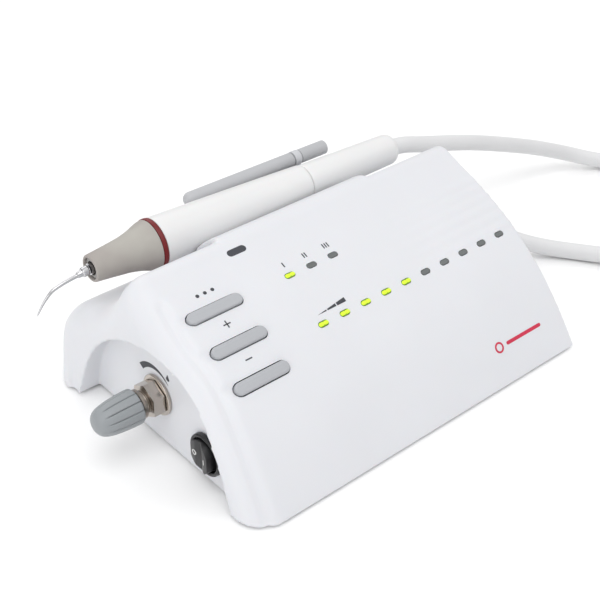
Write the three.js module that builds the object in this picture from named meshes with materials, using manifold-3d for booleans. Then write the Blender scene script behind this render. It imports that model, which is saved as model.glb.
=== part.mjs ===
// Desktop ultrasonic scaler: a wedge-shaped control unit with a sloped panel, a water
// regulator and power switch in an arched recess at its left end, and a detachable
// handpiece lying in a cradle behind the crest, joined to the unit by one long lead.
// Millimetres, +Z up. While the model is drawn, X runs along the panel from its left edge,
// Y runs back from the front bottom edge and Z is height above the casing's lower rim.
// The finished unit is then moved so that its origin is under the middle of its footprint.

import * as THREE from 'three';
import { mergeVertices } from 'three/addons/utils/BufferGeometryUtils.js';
import Module from 'manifold-3d';

const wasm = await Module();
wasm.setup();

// ---------------------------------------------------------------- driving dimensions
const GAP = 0.3;                 // clearance between touching pieces

const PANEL_LENGTH = 160;        // right end of the casing
const CASING_LEFT = -15.5;       // left end of the casing at its foot
const CASING_BACK = 125;
const WALL = 2.4;
const LEFT_ROUNDING = 12;        // radius of the soft ridge at the left end
const SPINE_Y = 62;              // the point the left end shrinks towards
const SPINE_REACH = 62;
const LEFT_LEAN = 0.12;          // the left end leans inwards with height
const LEFT_TAPER = 0.052;         // and narrows towards the front
const RECESS_FACE = -4;          // flat face at the bottom of the arched recess
const CAVITY_LEFT = RECESS_FACE + WALL;
const CAVITY_RIGHT = PANEL_LENGTH - WALL;

const CRADLE = { left: 40, right: 117, rearRight: 99, radius: 10.8 };

const BASE = { thickness: 2.4, left: -1.2, right: 157.2, front: 5.4, back: 122.2 };
const FOOT = { radius: 7, proud: 1, sunk: 0.8, x: [30, 130], y: [16, 112] };
const SCREW = { x: [16, 146], y: [24, 106], shank: 1.5, head: 2.9, headHeight: 1.4, length: 9 };
const BOSS_RADIUS = 3.6;

const BUTTON = { x: 9.9, run: 19.4, radius: 2.45, proud: 1.1, depth: 2.7, flange: 1, lip: 1, stem: 1.6 };
const BUTTON_ROWS = [
  { name: 'button_option', y: 59 },
  { name: 'button_plus', y: 45 },
  { name: 'button_minus', y: 32.3 },
];
const LIGHT = { run: 2.3, radius: 1.12, proud: 0.2, depth: 2.9 };
const MODE_LIGHTS = { count: 3, x: 54.7, pitch: 10.8, y: 58.5 };
const LEVEL_LIGHTS = { count: 10, x: 53.9, pitch: 10.73, y: 38.3 };

const REGULATOR = { y: 63.8, z: 21.9 };
const SWITCH = { y: 34, z: 13.2, flange: 8.9, opening: 7.4 };

const HANDPIECE_POINT = new THREE.Vector3(27, 109.1, 52.45);   // centre of the coloured ring
const HANDPIECE_AXIS = new THREE.Vector3(1, -0.009, -0.012).normalize();

const REST = { y: 122.6, z: 55, radius: 3.1, left: 49.5, knuckle: 101.5, neck: 1.9, right: 128 };

const CORD_RADIUS = 3.75;
const CORD_SIDES = 10;
const TABLE = -FOOT.proud;
const CORD_REST = TABLE + CORD_RADIUS + 0.05;
const COIL = { x: 290, y: 12, inner: 23, outer: 53.4, height: 15 };
const GLAND = { y: 80, z: 15.2, length: 26 };
const GLAND_AXIS = new THREE.Vector3(0.9, -0.42, -0.12).normalize();

// Route of the lead where it isn't coiled, in drawing coordinates.
const UPPER_CORD_ROUTE = [
  [155.6, 107.95, 50.85], [163, 107.9, 49.9], [173, 108.2, 46.3], [185, 108.6, 42.5],
  [204, 109, 36.4], [225, 108.9, 28.8], [253, 106.7, 18.2], [267, 104.4, 12.4],
  [277.9, 101.1, 8], [288, 94, 4.3], [297, 85, CORD_REST], [304, 76, CORD_REST],
  [310.5, 66.7, CORD_REST],
];
const LOWER_CORD_ROUTE = [
  [184.2, 69.1, 12.0], [190.8, 65.6, 9.8], [197.6, 60.9, 6.2], [204.4, 55.0, 3.9],
  [210.6, 48.4, CORD_REST], [215.8, 41.2, CORD_REST], [220.4, 33.6, CORD_REST],
  [226, 24.2, 4.4], [231.6, 14.2, 7.2],
];

// ---------------------------------------------------------------- materials
function plastic(colour, roughness = 0.45) {
  return new THREE.MeshStandardMaterial({ color: colour, roughness, metalness: 0 });
}

function metal(colour, roughness = 0.3) {
  return new THREE.MeshStandardMaterial({ color: colour, roughness, metalness: 1 });
}

const casingWhite = plastic(0xe6e7ec, 0.35);
const handpieceWhite = plastic(0xececec, 0.3);
const buttonGrey = plastic(0xb9bdc3, 0.5);
const knobGrey = plastic(0x9aa4ab, 0.5);
const restGrey = plastic(0xb4b8bc, 0.5);
const gripGrey = plastic(0xa5a29e, 0.6);
const ringRed = plastic(0x8a0a14, 0.35);
const blackPlastic = plastic(0x232326, 0.4);
const rubberBlack = plastic(0x2b2b2b, 0.9);
const lightGreen = plastic(0xbfe61a, 0.3);
const lightDark = plastic(0x5a5c5a, 0.3);
const clearLens = plastic(0xdfe8ec, 0.1);
const boardGreen = plastic(0x1e6b3a, 0.6);
const hoseClear = plastic(0xcfd8da, 0.35);
const cordGrey = plastic(0xd2d3d1, 0.55);
const nickel = metal(0xc8bfb4, 0.3);
const steel = metal(0xb8bcc0, 0.25);
const brass = metal(0xc2a05a, 0.35);
const aluminium = metal(0xb9bcbf, 0.4);
const ceramic = plastic(0x6e6258, 0.5);
const ferrite = plastic(0x3a3632, 0.7);

// ---------------------------------------------------------------- solids and booleans
function solid(geometry) {
  const bare = geometry.clone();
  bare.deleteAttribute('normal');
  bare.deleteAttribute('uv');
  const merged = mergeVertices(bare, 1e-4);
  return new wasm.Manifold(new wasm.Mesh({
    numProp: 3,
    vertProperties: new Float32Array(merged.attributes.position.array),
    triVerts: new Uint32Array(merged.index.array),
  }));
}

function geometryOf(body) {
  const mesh = body.getMesh();
  const geometry = new THREE.BufferGeometry();
  geometry.setAttribute('position', new THREE.BufferAttribute(mesh.vertProperties, 3));
  geometry.setIndex(new THREE.BufferAttribute(mesh.triVerts, 1));
  geometry.computeVertexNormals();
  return geometry;
}

function join(geometries) {
  return geometries.map(solid).reduce((sum, next) => sum.add(next));
}

function cut(body, geometries) {
  return geometries.reduce((rest, tool) => rest.subtract(solid(tool)), body);
}

// ---------------------------------------------------------------- basic shapes
function box(x0, x1, y0, y1, z0, z1) {
  const geometry = new THREE.BoxGeometry(x1 - x0, y1 - y0, z1 - z0);
  return geometry.translate((x0 + x1) / 2, (y0 + y1) / 2, (z0 + z1) / 2);
}

function post(x, y, z0, z1, radius, sides = 18) {
  const geometry = new THREE.CylinderGeometry(radius, radius, z1 - z0, sides);
  return geometry.rotateX(Math.PI / 2).translate(x, y, (z0 + z1) / 2);
}

function rodX(x0, x1, y, z, radius, sides = 20) {
  const geometry = new THREE.CylinderGeometry(radius, radius, x1 - x0, sides);
  return geometry.rotateZ(-Math.PI / 2).translate((x0 + x1) / 2, y, z);
}

function rodY(x, z, y0, y1, radius, sides = 18) {
  const geometry = new THREE.CylinderGeometry(radius, radius, y1 - y0, sides);
  return geometry.translate(x, (y0 + y1) / 2, z);
}

// A solid of revolution about +X; the profile is a closed list of [x, radius].
function turned(profile, sides = 32) {
  const points = profile.map(([x, radius]) => new THREE.Vector2(radius, x));
  return new THREE.LatheGeometry([...points, points[0].clone()], sides).rotateZ(-Math.PI / 2);
}

// An outline in Y and Z, extruded from x0 to x1.
function prismX(shape, x0, x1, curveSegments = 12) {
  const geometry = new THREE.ExtrudeGeometry(shape, { depth: x1 - x0, bevelEnabled: false, curveSegments });
  const turn = new THREE.Matrix4().makeBasis(
    new THREE.Vector3(0, 1, 0), new THREE.Vector3(0, 0, 1), new THREE.Vector3(1, 0, 0));
  return geometry.applyMatrix4(turn).translate(x0, 0, 0);
}

function polygon(points) {
  return new THREE.Shape(points.map(([u, v]) => new THREE.Vector2(u, v)));
}

// A capsule outline centred on the origin: a straight run with round ends.
function capsuleShape(run, radius) {
  const shape = new THREE.Shape();
  shape.moveTo(-run / 2, -radius);
  shape.lineTo(run / 2, -radius);
  shape.absarc(run / 2, 0, radius, -Math.PI / 2, Math.PI / 2, false);
  shape.lineTo(-run / 2, radius);
  shape.absarc(-run / 2, 0, radius, Math.PI / 2, Math.PI * 1.5, false);
  return shape;
}

function capsule(run, radius, z0, z1, curveSegments = 6) {
  const geometry = new THREE.ExtrudeGeometry(capsuleShape(run, radius), {
    depth: z1 - z0, bevelEnabled: false, curveSegments,
  });
  return geometry.translate(0, 0, z0);
}

function tube(route, radius, sides, steps) {
  const path = new THREE.CatmullRomCurve3(route.map((point) => new THREE.Vector3(...point)));
  const section = new THREE.Shape();
  for (let side = 0; side < sides; side += 1) {
    const angle = (side / sides) * Math.PI * 2;
    const corner = [radius * Math.cos(angle), radius * Math.sin(angle)];
    if (side === 0) section.moveTo(...corner);
    else section.lineTo(...corner);
  }
  return new THREE.ExtrudeGeometry(section, { steps, extrudePath: path, bevelEnabled: false });
}

// ---------------------------------------------------------------- the object
const unit = new THREE.Group();
const leads = new THREE.Group();

function add(name, shape, material, parent = unit) {
  const geometry = shape instanceof THREE.BufferGeometry ? shape : geometryOf(shape);
  const mesh = new THREE.Mesh(geometry, material.clone());
  mesh.name = name;
  parent.add(mesh);
  return mesh;
}

// ---------------------------------------------------------------- casing outline
const PANEL_CURVE = new THREE.CubicBezierCurve(
  new THREE.Vector2(0, 0), new THREE.Vector2(26.5, 40),
  new THREE.Vector2(49, 47.6), new THREE.Vector2(78.5, 60.1));

function casingShape() {
  const shape = new THREE.Shape();
  shape.moveTo(0, -20);
  shape.lineTo(0, 0);
  shape.bezierCurveTo(26.5, 40, 49, 47.6, 78.5, 60.1);
  shape.quadraticCurveTo(84, 62.4, 87, 56.5);
  shape.bezierCurveTo(91, 47.5, 99, 40, 110, 37);
  shape.quadraticCurveTo(119, 34.4, 124, 26);
  shape.lineTo(CASING_BACK, 20);
  shape.lineTo(CASING_BACK, -20);
  return shape;
}

// The same outline moved inwards by the wall thickness.
function insetOutline(shape, distance, divisions) {
  const points = shape.getPoints(divisions);
  const count = points.length;
  return points.map((point, index) => {
    const before = points[(index + count - 1) % count];
    const after = points[(index + 1) % count];
    const along = after.clone().sub(before).normalize();
    return [point.x + along.y * distance, point.y - along.x * distance];
  });
}

// Position on the panel above a given Y, with the group that stands square to it there.
function panelSeat(x, y) {
  let low = 0;
  let high = 1;
  for (let step = 0; step < 30; step += 1) {
    const middle = (low + high) / 2;
    if (PANEL_CURVE.getPoint(middle).x < y) low = middle;
    else high = middle;
  }
  const point = PANEL_CURVE.getPoint(low);
  const along = PANEL_CURVE.getTangent(low);
  const seat = new THREE.Object3D();
  seat.position.set(x, point.x, point.y);
  seat.rotation.x = Math.atan2(along.y, along.x);
  seat.updateMatrix();
  return seat;
}

function onPanel(geometry, seat) {
  return geometry.applyMatrix4(seat.matrix);
}

const buttonSeats = BUTTON_ROWS.map((row) => panelSeat(BUTTON.x + BUTTON.run / 2, row.y));

const lightSeats = [];
for (let index = 0; index < MODE_LIGHTS.count; index += 1) {
  const seat = panelSeat(MODE_LIGHTS.x + index * MODE_LIGHTS.pitch, MODE_LIGHTS.y);
  lightSeats.push({ name: `mode_light_${index + 1}`, lit: index === 0, seat });
}
for (let index = 0; index < LEVEL_LIGHTS.count; index += 1) {
  const seat = panelSeat(LEVEL_LIGHTS.x + index * LEVEL_LIGHTS.pitch, LEVEL_LIGHTS.y);
  lightSeats.push({ name: `level_light_${index + 1}`, lit: index < LEVEL_LIGHTS.count / 2, seat });
}

// ---------------------------------------------------------------- handpiece placement
const handpiece = new THREE.Group();
handpiece.position.copy(HANDPIECE_POINT);
handpiece.quaternion.setFromUnitVectors(new THREE.Vector3(1, 0, 0), HANDPIECE_AXIS);
handpiece.updateMatrix();
unit.add(handpiece);

// ---------------------------------------------------------------- upper casing
// The outline is carried along X. Over the first stations it shrinks towards a point on the
// floor, which rounds the left end; that end also leans and narrows a little.
function casingOuter() {
  const stations = 6;
  const geometry = new THREE.ExtrudeGeometry(casingShape(), {
    depth: stations + 1, steps: stations + 1, bevelEnabled: false, curveSegments: 9,
  });
  const position = geometry.attributes.position;
  for (let index = 0; index < position.count; index += 1) {
    const angle = Math.min(position.getZ(index) / stations, 1) * (Math.PI / 2);
    const shrink = 1 - (LEFT_ROUNDING * (1 - Math.sin(angle))) / SPINE_REACH;
    const y = SPINE_Y + (position.getX(index) - SPINE_Y) * shrink;
    const z = position.getY(index) * shrink;
    let x = PANEL_LENGTH;
    if (position.getZ(index) < stations + 0.5) {
      const lean = LEFT_LEAN * Math.max(z, 0);
      const taper = LEFT_TAPER * (CASING_BACK - y);
      x = CASING_LEFT + LEFT_ROUNDING * (1 - Math.cos(angle)) + lean + taper;
    }
    position.setXYZ(index, x, y, z);
  }
  return solid(geometry);
}

function recessShape() {
  const shape = new THREE.Shape();
  shape.moveTo(107.5, -5);
  shape.lineTo(107, 0);
  shape.splineThru([[102, 16.5], [95, 28.5], [86, 36], [74, 40.6], [62, 41.8], [50, 39.6],
    [40, 34.4], [31, 26], [22, 13.4], [15.5, 0]].map((point) => new THREE.Vector2(...point)));
  shape.lineTo(13, -5);
  return shape;
}

function cradleBlock() {
  const front = prismX(polygon([[80, 34], [80, 60.4], [84.5, 61.4], [88.5, 59.2], [94, 54.6],
    [98.6, 49.8], [109, 40], [109, 34]]), CRADLE.left, CRADLE.right);
  const floor = prismX(polygon([[100, 30], [100, 46], [121, 46], [123.5, 43], [123.5, 27]]),
    CRADLE.left, CRADLE.right);
  const rear = prismX(polygon([[116, 40], [116, 50.2], [122, 50.2], [123.5, 48.6], [123.5, 27]]),
    CRADLE.left, CRADLE.rearRight);
  return join([front, floor, rear]);
}

function panelHoles() {
  const buttons = buttonSeats.map((seat) => onPanel(
    capsule(BUTTON.run, BUTTON.radius + GAP, -6, 4, 5), seat));
  const lights = lightSeats.map(({ seat }) => onPanel(
    capsule(LIGHT.run, LIGHT.radius + GAP, -6, 3, 3), seat));
  return [...buttons, ...lights];
}

const REAR_PORTS = { z: 14, power: 122, pedal: 94, water: 26 };

function upperCasing() {
  const outer = casingOuter();
  const bosses = SCREW.x.flatMap((x) => SCREW.y.map(
    (y) => post(x, y, BASE.thickness + GAP, 60, BOSS_RADIUS, 16)));
  const cavityOutline = insetOutline(casingShape(), WALL, 9);
  const cavity = solid(prismX(polygon(cavityOutline), CAVITY_LEFT, CAVITY_RIGHT));
  const bulgeHollow = box(CASING_LEFT + 5, RECESS_FACE, 109.8, 117.5, -5, 18);
  const trough = turned([[-8, 0], [-8, CRADLE.radius], [110, CRADLE.radius], [110, 0]], 32);
  trough.applyMatrix4(handpiece.matrix);
  let body = outer.add(cradleBlock()).subtract(cavity);
  body = body.add(outer.intersect(join(bosses)));
  body = cut(body, [
    trough,
    bulgeHollow,
    prismX(recessShape(), CASING_LEFT - 10, RECESS_FACE, 3),
    box(CASING_LEFT - 10, PANEL_LENGTH + 40, -30, CASING_BACK + 30, -40, 0),
    rodX(CASING_LEFT, 3, REGULATOR.y, REGULATOR.z, 4.7),
    rodX(RECESS_FACE - 1, 0, SWITCH.y, SWITCH.z, SWITCH.opening + 0.6, 24),
    rodX(CAVITY_RIGHT - 3, PANEL_LENGTH + 2, GLAND.y, GLAND.z, 5.6),
    rodY(REAR_PORTS.power, REAR_PORTS.z, 118, 130, 6.3),
    rodY(REAR_PORTS.pedal, REAR_PORTS.z, 118, 130, 6.3),
    rodY(REAR_PORTS.water, REAR_PORTS.z, 118, 130, 4.3),
    ...SCREW.x.flatMap((x) => SCREW.y.map((y) => post(x, y, 0, 12.5, SCREW.shank + GAP, 12))),
    ...panelHoles(),
  ]);
  return body;
}

add('upper_casing', upperCasing(), casingWhite);

// ---------------------------------------------------------------- base, feet and screws
const BOARD = { left: 42, right: 136, front: 40, back: 98, z: 7, thickness: 1.6 };

function basePlate() {
  const posts = [BOARD.left + 5, BOARD.right - 5].flatMap((x) => [BOARD.front + 5, BOARD.back - 5].map(
    (y) => post(x, y, BASE.thickness - 1, BOARD.z - GAP, 3, 12)));
  const plate = join([
    box(BASE.left, BASE.right, BASE.front, BASE.back, 0, BASE.thickness), ...posts]);
  return cut(plate, [
    ...FOOT.x.flatMap((x) => FOOT.y.map((y) => post(x, y, -1, FOOT.sunk + GAP, FOOT.radius + GAP))),
    ...SCREW.x.flatMap((x) => SCREW.y.map((y) => post(x, y, -1, 4, SCREW.shank + GAP, 12))),
    ...SCREW.x.flatMap((x) => SCREW.y.map(
      (y) => post(x, y, -1, SCREW.headHeight + 2 * GAP, SCREW.head + GAP, 16))),
  ]);
}

add('base_plate', basePlate(), casingWhite);

const CORNERS = ['front_left', 'rear_left', 'front_right', 'rear_right'];
CORNERS.forEach((corner, index) => {
  const right = index > 1 ? 1 : 0;
  const rear = index % 2;
  add(`foot_${corner}`, post(FOOT.x[right], FOOT.y[rear], TABLE, FOOT.sunk, FOOT.radius), rubberBlack);
  const x = SCREW.x[right];
  const y = SCREW.y[rear];
  const screw = join([
    post(x, y, GAP, SCREW.headHeight, SCREW.head, 16),
    post(x, y, GAP, SCREW.length, SCREW.shank, 10),
  ]);
  const slotted = cut(screw, [box(x - 2, x + 2, y - 0.35, y + 0.35, 0, 0.8)]);
  add(`base_screw_${corner}`, slotted, steel);
});

// ---------------------------------------------------------------- buttons and panel lights
BUTTON_ROWS.forEach((row, index) => {
  const cap = capsule(BUTTON.run, BUTTON.radius, -BUTTON.depth - BUTTON.flange, BUTTON.proud, 5);
  const flange = capsule(BUTTON.run, BUTTON.radius + BUTTON.lip, -BUTTON.depth - BUTTON.flange,
    -BUTTON.depth - GAP, 5);
  const stem = post(0, 0, -6.5, -BUTTON.depth, BUTTON.stem, 8);
  add(row.name, join([cap, flange, stem].map((piece) => onPanel(piece, buttonSeats[index]))), buttonGrey);
});

lightSeats.forEach(({ name, lit, seat }) => {
  const window = onPanel(capsule(LIGHT.run, LIGHT.radius, -LIGHT.depth, LIGHT.proud, 3), seat);
  add(name, window, lit ? lightGreen : lightDark);
});

// The control board lies parallel to the chord of the panel and carries a key switch under
// each button.
const KEY_DEPTH = 9.5;
const controlSeat = new THREE.Object3D();
controlSeat.position.set(79, 53, 33.5);
controlSeat.rotation.x = THREE.MathUtils.degToRad(30);
controlSeat.updateMatrix();

function controlBoard() {
  const board = onPanel(box(-75, 75, -19, 17, -1.6, 0), controlSeat);
  const keys = buttonSeats.flatMap((seat) => {
    const normal = new THREE.Vector3(0, 0, 1).applyEuler(seat.rotation);
    const foot = seat.position.clone().addScaledVector(normal, -KEY_DEPTH);
    const { x, y } = foot.applyMatrix4(controlSeat.matrix.clone().invert());
    return [
      onPanel(box(x - 3, x + 3, y - 3, y + 3, -0.5, 2.2), controlSeat),
      onPanel(post(x, y, 2, 2.9, 1.5, 12), controlSeat),
    ];
  });
  return join([board, ...keys]);
}

add('control_board', controlBoard(), boardGreen);

// ---------------------------------------------------------------- power electronics
const BOARD_TOP = BOARD.z + BOARD.thickness + GAP;
add('power_board', join([
  box(BOARD.left, BOARD.right, BOARD.front, BOARD.back, BOARD.z, BOARD.z + BOARD.thickness),
  post(51, 52, BOARD.z + 1, BOARD_TOP + 15, 5),
]), boardGreen);
add('power_transformer', join([
  box(60, 84, 62, 86, BOARD_TOP, BOARD_TOP + 14),
  box(63, 81, 58, 90, BOARD_TOP + 3, BOARD_TOP + 11),
]), ferrite);

function heatSink() {
  const fins = [];
  for (let fin = 0; fin < 5; fin += 1) {
    fins.push(box(98, 122, 62 + fin * 5, 63.6 + fin * 5, BOARD_TOP, BOARD_TOP + 14));
  }
  return join([box(98, 122, 62, 83.6, BOARD_TOP, BOARD_TOP + 2.5), ...fins]);
}

add('driver_heat_sink', heatSink(), aluminium);

// ---------------------------------------------------------------- rear sockets and water inlet
function roundSocket(x, radius, bore) {
  const body = join([
    rodY(x, REAR_PORTS.z, 111, CASING_BACK + 1.2, radius),
    rodY(x, REAR_PORTS.z, CASING_BACK + GAP, CASING_BACK + 1.6, radius + 2),
    box(x - radius, x + radius, 108, 116, REAR_PORTS.z - radius, REAR_PORTS.z + radius),
  ]);
  return cut(body, [rodY(x, REAR_PORTS.z, 115, CASING_BACK + 3, bore)]);
}

add('power_socket', roundSocket(REAR_PORTS.power, 6, 4), blackPlastic);
add('pedal_socket', roundSocket(REAR_PORTS.pedal, 6, 4.4), blackPlastic);

function waterInlet() {
  const profile = [[0, 0], [0, 2.2], [8, 2.2], [8, 3.9], [13.4, 3.9], [13.4, 6], [15, 6], [15, 2.2],
    [19, 2.2], [20, 2.9], [22, 2.2], [24, 2.9], [26, 2.1], [26, 0]];
  const barb = turned(profile, 20).rotateZ(Math.PI / 2);
  return barb.translate(REAR_PORTS.water, CASING_BACK - 13.1, REAR_PORTS.z);
}

add('water_inlet', waterInlet(), nickel);

// ---------------------------------------------------------------- water path
const VALVE = { x0: 14, x1: 38, y0: 82, y1: 98, z0: BASE.thickness + GAP, z1: 17 };
add('solenoid_valve', join([
  box(VALVE.x0, VALVE.x1, VALVE.y0, VALVE.y1, VALVE.z0, VALVE.z1),
  post(26, 90, 15, 32, 7, 20),
]), aluminium);

const BUSHING = { radius: 4.3, end: -12.2, bore: 2.4 };
add('regulator_body', cut(join([
  box(CAVITY_LEFT + GAP, 20, REGULATOR.y - 7, REGULATOR.y + 7, REGULATOR.z - 7, REGULATOR.z + 7),
  rodX(BUSHING.end, 0, REGULATOR.y, REGULATOR.z, BUSHING.radius),
]), [rodX(BUSHING.end - 2, 8, REGULATOR.y, REGULATOR.z, BUSHING.bore)]), brass);
add('regulator_spindle', rodX(-25, 7, REGULATOR.y, REGULATOR.z, BUSHING.bore - GAP, 16), steel);
add('regulator_washer', turned([[-5.4, BUSHING.radius + GAP], [-5.4, 7.6], [-5.1, 8.1],
  [RECESS_FACE - GAP, 8.3], [RECESS_FACE - GAP, BUSHING.radius + GAP]])
  .translate(0, REGULATOR.y, REGULATOR.z), nickel);

function hexNut() {
  const hexagon = new THREE.CylinderGeometry(7.2, 7.2, 4.8, 6).rotateZ(-Math.PI / 2);
  const blank = hexagon.translate(-8.1, REGULATOR.y, REGULATOR.z);
  return cut(solid(blank), [rodX(-12, -4, REGULATOR.y, REGULATOR.z, BUSHING.radius + GAP)]);
}

add('regulator_nut', hexNut(), nickel);

function knob() {
  const profile = [[-32.4, 0], [-32, 2.4], [-31, 4.2], [-28.6, 5.6], [-24, 6.45], [-17, 6.95],
    [-14.8, 6.9], [-14.4, 6.4], [-14.4, 0]];
  const blank = turned(profile, 24).translate(0, REGULATOR.y, REGULATOR.z);
  const tools = [rodX(-25 - GAP, -10, REGULATOR.y, REGULATOR.z, BUSHING.bore, 16)];
  const flutes = 12;
  for (let flute = 0; flute < flutes; flute += 1) {
    const angle = (flute / flutes) * Math.PI * 2;
    const groove = rodX(-30, -10, 0, 0, 0.6, 4);
    groove.rotateZ(0.075).translate(0, 6.9, 0);
    groove.rotateX(angle).translate(0, REGULATOR.y, REGULATOR.z);
    tools.push(groove);
  }
  return cut(solid(blank), tools);
}

add('water_knob', knob(), knobGrey);

const HOSE_RADIUS = 2;
add('inlet_hose', tube([[26, 111.5, 14], [26, 108, 14], [26, 104, 12.5], [26, 101, 11], [26, 98.4, 11]],
  HOSE_RADIUS, 6, 6), hoseClear);
add('valve_hose', tube([[13.7, 88, 10], [9, 88, 10], [5, 84, 12], [6, 80, 17], [9, 76, 21],
  [10, 71.4, 21.9]], HOSE_RADIUS, 6, 10), hoseClear);
add('supply_hose', tube([[20.3, 63.8, 21.9], [27, 63.8, 21.9], [36, 58, 20], [40, 44, 18],
  [48, 34, 16], [80, 33, 15], [125, 33, 15], [139, 38, 15], [143, 55, 15.2], [145, 70, 15.2],
  [146.5, 79, 15.2], [150.4, 80, 15.2]], HOSE_RADIUS, 6, 28), hoseClear);

// ---------------------------------------------------------------- power switch
function switchFrame() {
  const face = RECESS_FACE - GAP;
  const body = join([
    rodX(face - 2, face, SWITCH.y, SWITCH.z, SWITCH.flange, 24),
    rodX(face - 1, 1, SWITCH.y, SWITCH.z, SWITCH.opening + GAP, 24),
    box(-1, 9, SWITCH.y - 6.5, SWITCH.y + 6.5, SWITCH.z - 6.5, SWITCH.z + 6.5),
  ]);
  return cut(body, [rodX(-10, 0.5, SWITCH.y, SWITCH.z, 7, 24)]);
}

add('switch_frame', switchFrame(), blackPlastic);

// The rocker turns about a vertical pin; its two flats meet in a shallow valley, and it rests
// with the far end pressed in.
const ROCKER = { pivot: -3.6, swing: THREE.MathUtils.degToRad(8), radius: 6.5 };
function rocker() {
  const outline = polygon([[-4.6, -5.9], [-3.5, 0], [-4.6, 5.9], [1.4, 5.2], [2.4, 0], [1.4, -5.2]]
    .reverse());
  const slab = new THREE.ExtrudeGeometry(outline, { depth: 14, bevelEnabled: false });
  slab.translate(0, 0, -7);
  const round = solid(rodX(-8, 4, 0, 0, ROCKER.radius, 24));
  const piece = geometryOf(solid(slab).intersect(round));
  return piece.rotateZ(-ROCKER.swing).translate(ROCKER.pivot, SWITCH.y, SWITCH.z);
}

add('switch_rocker', rocker(), blackPlastic);

// ---------------------------------------------------------------- rest arm behind the cradle
function restArm() {
  const bar = rodX(REST.left + 3, REST.knuckle + 8, REST.y, REST.z, REST.radius, 16);
  const nose = new THREE.SphereGeometry(REST.radius, 12, 8).scale(1.5, 1, 1)
    .translate(REST.left + 3.5, REST.y, REST.z);
  const neck = rodX(REST.knuckle + 5, REST.right - 1, REST.y, REST.z, REST.neck, 16);
  const barrel = rodX(REST.knuckle + 12.2, REST.right, REST.y, REST.z, REST.radius, 16);
  const knuckle = box(REST.knuckle, REST.knuckle + 6, REST.y - 2.5, REST.y + 1.9, 47, REST.z);
  return join([bar, nose, neck, barrel, knuckle]);
}

add('rest_arm', restArm(), restGrey);

function restBracket() {
  const x0 = REST.knuckle + 8.4;
  const ear = join([
    rodX(x0, x0 + 3.4, REST.y, REST.z, REST.radius + 0.2, 20),
    box(x0, x0 + 3.4, REST.y - 2, REST.y + 4.4, 45, REST.z - 2.4),
    box(x0, x0 + 6, CASING_BACK + GAP, REST.y + 4.4, 20, 46.6),
    box(x0, x0 + 6, 124, REST.y + 4.4, 44, 46.6),
  ]);
  return cut(ear, [
    rodX(x0 - 1, x0 + 8, REST.y, REST.z, REST.neck + GAP, 20),
    box(x0 - 1, x0 + 8, 100, 124, 30, 46),
  ]);
}

add('rest_bracket', restBracket(), casingWhite);

// ---------------------------------------------------------------- handpiece, along its own +X
const SLEEVE_BORE = 6.3;
const HANDPIECE_SIDES = 24;
const TAIL = { start: 77, end: 127.7 };

add('handpiece_sleeve', turned([[1.2, SLEEVE_BORE], [1.2, 10.38], [9, 10.2], [30, 9.55], [58, 8.7],
  [TAIL.start - 0.8, 8.05], [TAIL.start - GAP, 7.8], [TAIL.start - GAP, SLEEVE_BORE]], HANDPIECE_SIDES),
handpieceWhite, handpiece);

add('accent_ring', turned([[-0.9, SLEEVE_BORE], [-0.9, 10.3], [-0.6, 10.48], [0.6, 10.48], [0.9, 10.42],
  [0.9, SLEEVE_BORE]], HANDPIECE_SIDES), ringRed, handpiece);

add('grip_cone', turned([[-28.2, 4.4], [-28.2, 5.2], [-27.6, 5.6], [-20, 6.35], [-13, 7.2], [-8, 8.3],
  [-4.5, 9.5], [-2.4, 10.1], [-1.2, 10.25], [-1.2, 7.2], [-9, 7.2], [-20, 4.4]], HANDPIECE_SIDES),
gripGrey, handpiece);

add('nose_light_ring', turned([[-27.4, 2.9], [-27.4, 4.1], [-24.5, 4.1], [-24.5, 2.9]], 16),
  clearLens, handpiece);

add('transducer_horn', turned([[-28.6, 0], [-28.6, 2.4], [-21, 2.5], [-12, 3.8], [0, 5.6], [6, 5.6],
  [6, 0]], 16), steel, handpiece);

// Four ceramic discs with thin electrode plates between them, clamped as one stack.
const PIEZO = { count: 4, start: 6.3, thickness: 3, electrode: 0.3, radius: 5.8 };
function piezoStack() {
  const pitch = PIEZO.thickness + PIEZO.electrode;
  const profile = [[PIEZO.start, 0]];
  for (let disc = 0; disc < PIEZO.count; disc += 1) {
    const x0 = PIEZO.start + disc * pitch;
    profile.push([x0, PIEZO.radius], [x0 + PIEZO.thickness, PIEZO.radius]);
    if (disc < PIEZO.count - 1) {
      profile.push([x0 + PIEZO.thickness, PIEZO.radius - 0.5], [x0 + pitch, PIEZO.radius - 0.5]);
    }
  }
  profile.push([PIEZO.start + PIEZO.count * pitch - PIEZO.electrode, 0]);
  return turned(profile, 16);
}

add('piezo_stack', piezoStack(), ceramic, handpiece);
const BACK_MASS = PIEZO.start + PIEZO.count * (PIEZO.thickness + PIEZO.electrode);
add('back_mass', turned([[BACK_MASS, 0], [BACK_MASS, 5.8], [BACK_MASS + 20, 5.8], [BACK_MASS + 20, 0]], 16),
  steel, handpiece);

add('tail_connector', turned([[64, 0], [64, 5.9], [TAIL.start, 5.9], [TAIL.start, 7.75], [92, 7.5],
  [108, 7.25], [120, 7], [125.6, 6.85], [127.2, 6.2], [TAIL.end, 5], [TAIL.end, 0]], HANDPIECE_SIDES),
handpieceWhite, handpiece);

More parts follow.
